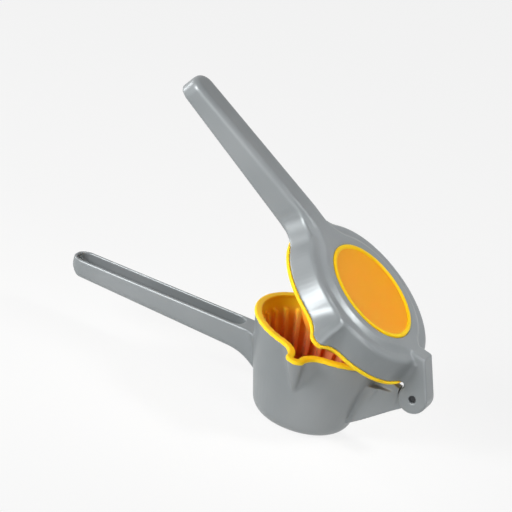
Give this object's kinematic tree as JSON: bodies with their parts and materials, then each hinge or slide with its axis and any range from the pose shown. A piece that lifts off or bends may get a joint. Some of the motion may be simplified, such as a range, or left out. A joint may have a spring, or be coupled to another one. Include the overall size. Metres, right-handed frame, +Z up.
{
  "type": "hinged lemon squeezer",
  "caption": "Hinged lemon squeezer: a ribbed cup with a pouring spout on the lower arm, and a domed press head with a round top pad on the upper arm.",
  "frame": {"origin": "under the middle of the cup's rim, on its flat underside", "axes": "+Z up, +X towards the hinge, handles towards -X, pouring spout towards -Y"},
  "size_m": [0.2184, 0.1093, 0.1635],
  "materials": {
    "painted_casting": "satin grey paint on die-cast aluminium",
    "yellow_nylon": "moulded yellow nylon, satin",
    "orange_nylon": "moulded orange nylon, satin",
    "hinge_steel": "turned stainless steel",
    "washer_nylon": "dark nylon washer"
  },
  "bodies": {
    "lower": {"lower_arm": "painted_casting", "cup_liner": "yellow_nylon", "lug_sleeve": "washer_nylon", "washer_near": "washer_nylon", "washer_far": "washer_nylon"},
    "upper": {"upper_arm": "painted_casting", "press_liner": "yellow_nylon", "pad_ring": "yellow_nylon", "pad_inlay": "orange_nylon", "pad_screws": "hinge_steel", "hinge_pin": "hinge_steel"}
  },
  "joints": [
    {"name": "arm_hinge", "type": "hinge", "parent": "lower", "child": "upper", "pos_m": [0.0596, 0, 0.0383], "axis": [0, 1, 0], "range_deg": [-17.6, 46.4]}
  ]
}
